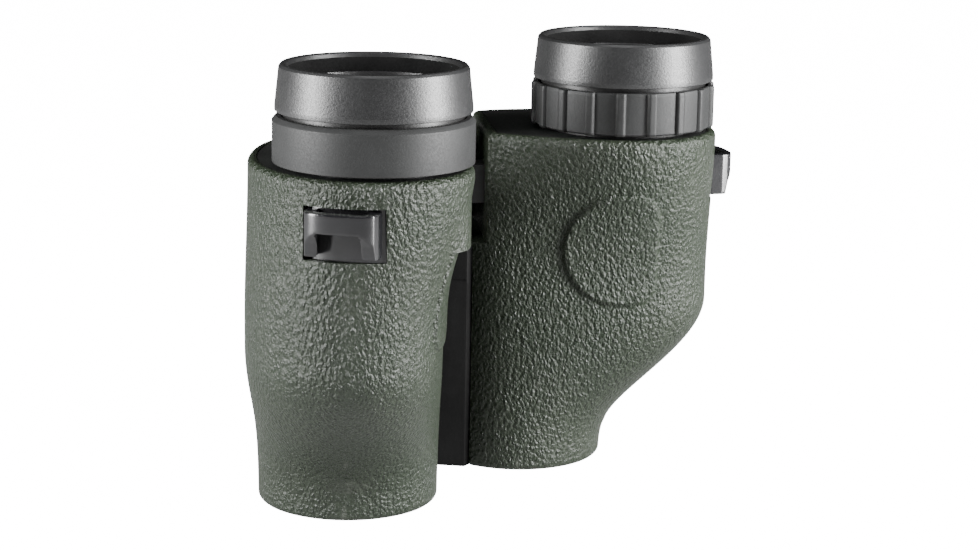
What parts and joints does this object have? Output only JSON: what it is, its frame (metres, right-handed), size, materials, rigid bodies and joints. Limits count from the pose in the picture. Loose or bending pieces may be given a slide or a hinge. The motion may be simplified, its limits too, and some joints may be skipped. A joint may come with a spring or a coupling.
{
  "type": "laser rangefinder",
  "caption": "Compact two-eyed laser rangefinder with folding centre hinge, centre focus wheel, offset prism halves in grained armour and twist-up eyecups.",
  "frame": {"origin": "under the middle of the instrument, on the plane of the objective rims it stands on", "axes": "+Z points from the objectives to the eyepieces, +X to the user's right, +Y to the top side with the hinge and buttons"},
  "size_m": [0.12, 0.0636, 0.0944],
  "materials": {
    "armour": "pebble-grained, semi-gloss",
    "black_plastic": "satin",
    "cover_plastic": "satin",
    "ring_plastic": "satin",
    "eyecup": "satin",
    "lug": "gloss",
    "grip_rubber": "matt",
    "glass": "polished and coated",
    "steel": "brushed",
    "brass": "turned",
    "aluminium": "anodised",
    "circuit_board": "satin"
  },
  "bodies": {
    "right_half": {"right_chassis": "black_plastic", "right_armour": "armour", "right_rear_cover": "cover_plastic", "right_strap_lug": "lug", "right_objective_cell": "aluminium", "right_objective_lens": "glass", "right_objective_retainer": "black_plastic", "right_prism_upper": "glass", "right_prism_lower": "glass", "right_prism_plate": "aluminium", "bridge_housing": "black_plastic", "battery": "brass", "battery_contact": "steel", "main_circuit_board": "circuit_board", "bridge_cover": "black_plastic", "range_switch": "steel", "mode_switch": "steel", "hinge_shaft": "steel", "hinge_bush": "brass", "hinge_nut": "steel", "laser_diode_module": "steel", "display_glass": "glass"},
    "left_half": {"left_chassis": "black_plastic", "left_armour": "armour", "left_rear_cover": "cover_plastic", "left_strap_lug": "lug", "left_objective_cell": "aluminium", "left_objective_lens": "glass", "left_objective_retainer": "black_plastic", "left_prism_upper": "glass", "left_prism_lower": "glass", "left_prism_plate": "aluminium", "left_eyepiece_barrel": "black_plastic", "left_field_lens": "glass", "left_eye_lens": "glass", "left_eyepiece_collar": "ring_plastic", "laser_receiver_module": "steel"},
    "focus_drive": {"focus_wheel": "black_plastic", "focus_wheel_grip": "grip_rubber", "focus_screw": "brass"},
    "focus_spool": {"focus_spool": "brass"},
    "right_focus": {"right_focus_cell": "aluminium", "right_focus_lens": "glass"},
    "left_focus": {"left_focus_cell": "aluminium", "left_focus_lens": "glass"},
    "diopter_ring": {"diopter_ring": "ring_plastic"},
    "right_eyepiece": {"right_eyepiece_barrel": "black_plastic", "right_field_lens": "glass", "right_eye_lens": "glass"},
    "right_sleeve": {"right_eyecup_sleeve": "black_plastic"},
    "left_sleeve": {"left_eyecup_sleeve": "black_plastic"},
    "right_eyecup": {"right_eyecup": "eyecup"},
    "left_eyecup": {"left_eyecup": "eyecup"},
    "battery_cap": {"battery_cap": "black_plastic", "battery_cap_seal": "grip_rubber"},
    "range_button": {"range_button": "grip_rubber"},
    "mode_button": {"mode_button": "grip_rubber"}
  },
  "joints": [
    {"name": "hinge_fold", "type": "hinge", "parent": "right_half", "child": "left_half", "pos_m": [0, 0.0194, 0.0615], "axis": [0, 0, 1], "range_deg": [-4, 28]},
    {"name": "focus_turn", "type": "hinge", "parent": "right_half", "child": "focus_drive", "pos_m": [0, 0.0194, 0.0827], "axis": [0, 0, 1], "range_deg": [-150, 150]},
    {"name": "spool_slide", "type": "slide", "parent": "right_half", "child": "focus_spool", "axis": [0, 0, 1], "range_m": [-0.002, 0.002]},
    {"name": "right_focus_slide", "type": "slide", "parent": "right_half", "child": "right_focus", "axis": [0, 0, 1], "range_m": [-0.002, 0.002]},
    {"name": "left_focus_slide", "type": "slide", "parent": "left_half", "child": "left_focus", "axis": [0, 0, 1], "range_m": [-0.002, 0.002]},
    {"name": "diopter_turn", "type": "hinge", "parent": "right_half", "child": "diopter_ring", "pos_m": [0.0369, -0.0116, 0.0797], "axis": [0, 0, 1], "range_deg": [-40, 40]},
    {"name": "right_eyepiece_slide", "type": "slide", "parent": "right_half", "child": "right_eyepiece", "axis": [0, 0, 1], "range_m": [-0.0008, 0.0008]},
    {"name": "right_eyecup_rise", "type": "slide", "parent": "right_half", "child": "right_sleeve", "axis": [0, 0, 1], "range_m": [0, 0.006]},
    {"name": "right_eyecup_twist", "type": "hinge", "parent": "right_sleeve", "child": "right_eyecup", "pos_m": [0.0369, -0.0116, 0.09], "axis": [0, 0, 1], "range_deg": [0, 150]},
    {"name": "left_eyecup_rise", "type": "slide", "parent": "left_half", "child": "left_sleeve", "axis": [0, 0, 1], "range_m": [0, 0.006]},
    {"name": "left_eyecup_twist", "type": "hinge", "parent": "left_sleeve", "child": "left_eyecup", "pos_m": [-0.0369, -0.0116, 0.09], "axis": [0, 0, 1], "range_deg": [0, 150]},
    {"name": "battery_cap_turn", "type": "hinge", "parent": "right_half", "child": "battery_cap", "pos_m": [0, 0.0194, 0.0024], "axis": [0, 0, 1], "range_deg": [0, 90]},
    {"name": "range_button_press", "type": "slide", "parent": "right_half", "child": "range_button", "axis": [0, -1, 0], "range_m": [0, 0.0008], "stiffness_N_per_m": 1500},
    {"name": "mode_button_press", "type": "slide", "parent": "right_half", "child": "mode_button", "axis": [0, -1, 0], "range_m": [0, 0.0008], "stiffness_N_per_m": 1500}
  ],
  "couplings": [
    {"joint": "spool_slide", "follows": "focus_turn", "m_per_rad": 0.00076},
    {"joint": "right_focus_slide", "follows": "focus_turn", "m_per_rad": 0.00076},
    {"joint": "left_focus_slide", "follows": "focus_turn", "m_per_rad": 0.00076},
    {"joint": "right_eyepiece_slide", "follows": "diopter_turn", "m_per_rad": 0.00114},
    {"joint": "right_eyecup_rise", "follows": "right_eyecup_twist", "m_per_rad": 0.00229},
    {"joint": "left_eyecup_rise", "follows": "left_eyecup_twist", "m_per_rad": 0.00229}
  ]
}
